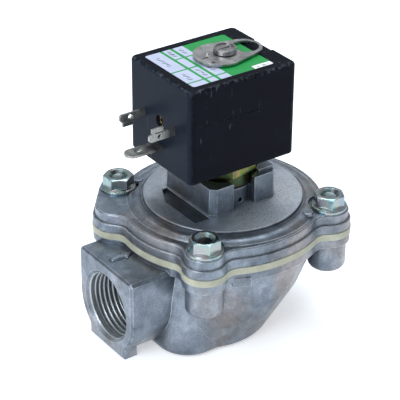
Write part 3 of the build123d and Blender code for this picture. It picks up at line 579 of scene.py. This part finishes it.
def wind(shape, pitch, turns, steps_per_turn):
    """Winds the closed loop in a bmesh about the Z axis and closes both its ends."""
    steps = int(turns * steps_per_turn)
    bmesh.ops.spin(
        shape,
        geom=shape.verts[:] + shape.edges[:],
        axis=(0, 0, 1),
        cent=(0, 0, 0),
        dvec=(0, 0, turns * pitch / steps),
        angle=2 * math.pi * turns,
        steps=steps,
    )
    bmesh.ops.holes_fill(shape, edges=shape.edges)


def soften_above(shape, height, radius):
    """Rounds off every edge of a bmesh that lies above a height."""
    high = [edge for edge in shape.edges if all(v.co.z > height for v in edge.verts)]
    bmesh.ops.bevel(
        shape, geom=high, offset=radius, affect="EDGES", segments=3, profile=0.5, material=-1
    )


def pipe_thread(name, length, place):
    """Ridges of a parallel pipe thread, cut along +Z from the origin, then put in place."""
    pitch, ridge, steps_per_turn = 1.814 * mm, 0.6 * mm, 72
    foot, crest = 0.45 * pitch, 0.16 * pitch
    tip_r = thread_root_r - ridge
    turns = round((length - pitch) / pitch - 0.5, 2)
    shape = bmesh.new()
    flank = ((thread_root_r, -foot), (tip_r, -crest), (tip_r, crest), (thread_root_r, foot))
    ring_of(shape, [(radius, 0, along + 0.5 * pitch) for radius, along in flank])
    wind(shape, pitch, turns, steps_per_turn)
    # the thread runs out into the wall at both its ends
    for corner in shape.verts:
        at = corner.co.z / pitch - 0.5
        cut_in = max(0, at / 0.3 + 0.3)
        run_out = max(0, (turns - at) / 0.5 + 0.2)
        radius = math.hypot(corner.co.x, corner.co.y)
        scale = (thread_root_r - (thread_root_r - radius) * min(1, cut_in, run_out)) / radius
        corner.co.x *= scale
        corner.co.y *= scale
    bmesh.ops.transform(shape, matrix=place, verts=shape.verts)
    return finished(name, shape, "valve", "cast_aluminium", "cut_aluminium")


thread_length, thread_start = 12.4 * mm, 2.2 * mm
inlet_start = Matrix.Translation((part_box("valve_body")[0].x + thread_start, 0, inlet_z))
pipe_thread("inlet_thread", thread_length, inlet_start @ Matrix.Rotation(math.pi / 2, 4, "Y"))
pipe_thread("outlet_thread", thread_length, Matrix.Translation((0, 0, thread_start)))

# Flow arrow cast on the flat of the inlet socket, a rim around a lower field
arrow = bmesh.new()
arrow_foot_z = socket_top_z - 0.1 * mm
tail_x, barb_x, tip_x, middle_y = -47.2, -41.8, -38.2, 1.3
half_shaft, half_head = 1.2, 2.4
rim_height, rim_width, field_depth = 0.6 * mm, 0.45 * mm, 0.4 * mm
outline = (
    (tail_x, -half_shaft),
    (barb_x, -half_shaft),
    (barb_x, -half_head),
    (tip_x, 0),
    (barb_x, half_head),
    (barb_x, half_shaft),
    (tail_x, half_shaft),
)
ring_of(arrow, [(x * mm, (y + middle_y) * mm, arrow_foot_z) for x, y in outline])
bmesh.ops.contextual_create(arrow, geom=arrow.edges)
raised = bmesh.ops.extrude_face_region(arrow, geom=arrow.faces[:])["geom"]
raised = [item for item in raised if isinstance(item, bmesh.types.BMVert)]
bmesh.ops.translate(arrow, vec=(0, 0, rim_height), verts=raised)
field = max(arrow.faces, key=lambda face: face.calc_center_median().z)
bmesh.ops.inset_region(arrow, faces=[field], thickness=rim_width, depth=-field_depth)
soften_above(arrow, arrow_foot_z + rim_height / 2, 0.12 * mm)
finished("flow_arrow", arrow, "valve", "cast_aluminium")

# Round pads on the bonnet's shoulder, where pins pushed the casting out of its tool
pad_height, foot_r, top_r = 1.2 * mm, 1.95 * mm, 1.85 * mm
for number, (x, y, top_z) in enumerate(((-19.4, 25.7, 46.95), (16.6, -28.2, 46.9)), start=1):
    pad = bmesh.new()
    bmesh.ops.create_cone(
        pad, cap_ends=True, segments=64, radius1=foot_r, radius2=top_r, depth=pad_height
    )
    soften_above(pad, 0, 0.15 * mm)
    spot = Vector((x * mm, y * mm, top_z * mm - pad_height / 2))
    bmesh.ops.translate(pad, vec=spot, verts=pad.verts)
    finished(f"ejector_pad_{number}", pad, "valve", "cast_aluminium", smooth=False)


def round_spring(name, node, body, radius, wire, turns):
    """Round wire wound between a CAD spring's ends, with one closed turn at both of them."""
    low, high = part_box(node)
    sides, steps_per_turn = 10, 32
    loose_pitch = 10 * wire
    closed_rise = 1.05 * wire
    span = high.z - low.z - wire
    shape = bmesh.new()
    around = [2 * math.pi * i / sides for i in range(sides)]
    ring_of(shape, [(radius + wire / 2 * math.cos(a), 0, wire / 2 * math.sin(a)) for a in around])
    wind(shape, loose_pitch, turns, steps_per_turn)
    # the wire is wound loosely, then each of its sections is set at its own height
    for corner in shape.verts:
        turn = round(corner.co.z / loose_pitch * steps_per_turn) / steps_per_turn
        in_section = corner.co.z - turn * loose_pitch
        share = min(1, max(0, (turn - 1) / (turns - 2)))
        closed = min(turn, 1) + max(0, turn - turns + 1)
        rise = closed * closed_rise + share * (span - 2 * closed_rise)
        corner.co.z = low.z + wire / 2 + rise + in_section
    made = finished(name, shape, body, "spring_steel")
    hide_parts(node)
    return made, low.z, span + wire


travel = {joint["name"]: joint["range_m"][1] for joint in frame["joints"] if "range_m" in joint}
for name, node, body, joint, radius, wire, turns in (
    ("return_spring", "diaphragm_spring", "diaphragm_stack", "diaphragm_lift", 9.0, 1.2, 5.0),
    ("plunger_spring", "core_spring", "plunger", "core_lift", 2.4, 0.6, 12.0),
):
    spring, foot, length = round_spring(name, node, body, radius * mm, wire * mm, turns)
    keep = 1 - travel[joint] / length
    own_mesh(spring)

# Diaphragm copied from the CAD part with its doubled corners merged, shown in place of it
sheet = bmesh.new()
sheet.from_mesh(nodes["diaphragm"].data)
bmesh.ops.remove_doubles(sheet, verts=sheet.verts, dist=0.001 * mm)
flexing = placed("flexing_diaphragm", mesh_of("flexing_diaphragm", sheet))
flexing.data.materials.clear()
flexing.data.materials.append(finishes["cream_elastomer"])
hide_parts("diaphragm")
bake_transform(flexing)


# Floor, light and camera


def backdrop_paper():
    """Pale paper: rays from the camera and off gloss see it evenly lit, with the shadow on it."""
    paper = Finish("backdrop_paper", Roughness=0.95)
    paper.set(Base_Color=(0.90, 0.92, 0.95))
    rays = paper.node("LightPath", output=None).outputs
    seen = Value(paper, rays["Is Camera Ray"]).most(Value(paper, rays["Is Glossy Ray"]))
    seen = seen.most(Value(paper, rays["Is Transmission Ray"]))
    glow = paper.node("Emission", {}, {"Color": (1, 1, 1), "Strength": seen * 0.42})
    both = paper.node("AddShader", {}, {0: Value(paper, paper.shader.outputs[0]), 1: glow})
    paper.feed(paper.tree.nodes["Material Output"].inputs["Surface"], both)
    return paper.material


floor_shape = bmesh.new()
bmesh.ops.create_grid(floor_shape, x_segments=1, y_segments=1, size=3.0)
# the floor lies a hair below the outlet's face, so the two don't flicker
bmesh.ops.translate(floor_shape, vec=(0, 0, -0.02 * mm), verts=floor_shape.verts)
floor = placed("floor", mesh_of("floor", floor_shape))
floor.data.materials.append(backdrop_paper())

# The room is brightest a little above the horizon and greyer to the right
world = bpy.data.worlds.new("studio")
bpy.context.scene.world = world
world.use_nodes = True
sky = Nodes(world.node_tree)
levels = ((0.0, 0.50), (0.56, 0.74), (0.68, 0.60), (0.84, 0.46), (1.0, 0.62))
to_the_left = (-0.78, -0.62, 0.0)
way = sky.node("TexCoord", output="Generated")
height = sky.node("SeparateXYZ", {}, {0: way}, output="Z")
side = sky.node(
    "VectorMath", {"operation": "DOT_PRODUCT"}, {0: way, 1: to_the_left}, output="Value"
)
rise = sky.node("MapRange", {}, {"Value": height, 1: -1.0, 2: 1.0})
stops = [(position, (level, level, level)) for position, level in levels]
bands = sky.node("ValToRGB", {"stops": stops}, {0: rise})
turned = sky.node("MapRange", {}, {"Value": side, 1: -1.0, 2: 0.9, 3: 0.80, 4: 0.99})
backdrop = world.node_tree.nodes["Background"]
sky.feed(backdrop.inputs["Color"], (0.90, 0.95, 1.0))
sky.feed(backdrop.inputs["Strength"], bands * turned)


def softbox(name, place, size, energy):
    """Rectangular lamp, slightly cool, that points at the middle of the valve."""
    lamp = bpy.data.lights.new(name, "AREA")
    lamp.shape = "RECTANGLE"
    lamp.size, lamp.size_y = size
    lamp.energy = energy
    lamp.color = (0.94, 0.97, 1.0)
    place, aim = Vector(place), Vector((0, 0, 0.04))
    turn = (place - aim).to_track_quat("Z", "Y").to_matrix().to_4x4()
    placed(name, lamp).matrix_world = Matrix.Translation(place) @ turn


softbox("key", (-0.60, -0.20, 0.50), (0.45, 0.35), 3.4)
softbox("top", (0.16, 0.22, 0.77), (0.55, 0.45), 4.2)
softbox("fill", (0.35, -0.65, 0.32), (0.4, 0.25), 0.3)

# Camera, fitted to the photograph
azimuth, elevation, roll = (math.radians(angle) for angle in (-35.4, 29.68, 0.4))
distance, aim_z, aside, above = 0.5981, 0.04356, -0.00813, 0.00008
back = Vector(
    (
        math.sin(azimuth) * math.cos(elevation),
        -math.cos(azimuth) * math.cos(elevation),
        math.sin(elevation),
    )
)
level_right = Vector((math.cos(azimuth), math.sin(azimuth), 0))
level_up = back.cross(level_right)
right = math.cos(roll) * level_right + math.sin(roll) * level_up
up = back.cross(right)
lens = bpy.data.cameras.new("camera")
lens.sensor_width = 36
lens.lens = 149.6
lens.clip_start, lens.clip_end = 0.05, 20
camera = placed("camera", lens)
stand = Vector((0, 0, aim_z)) + back * distance + right * aside + up * above
camera.matrix_world = Matrix.Translation(stand) @ Matrix((right, up, back)).transposed().to_4x4()
bpy.context.scene.camera = camera
bpy.context.scene.view_settings.view_transform = "Standard"
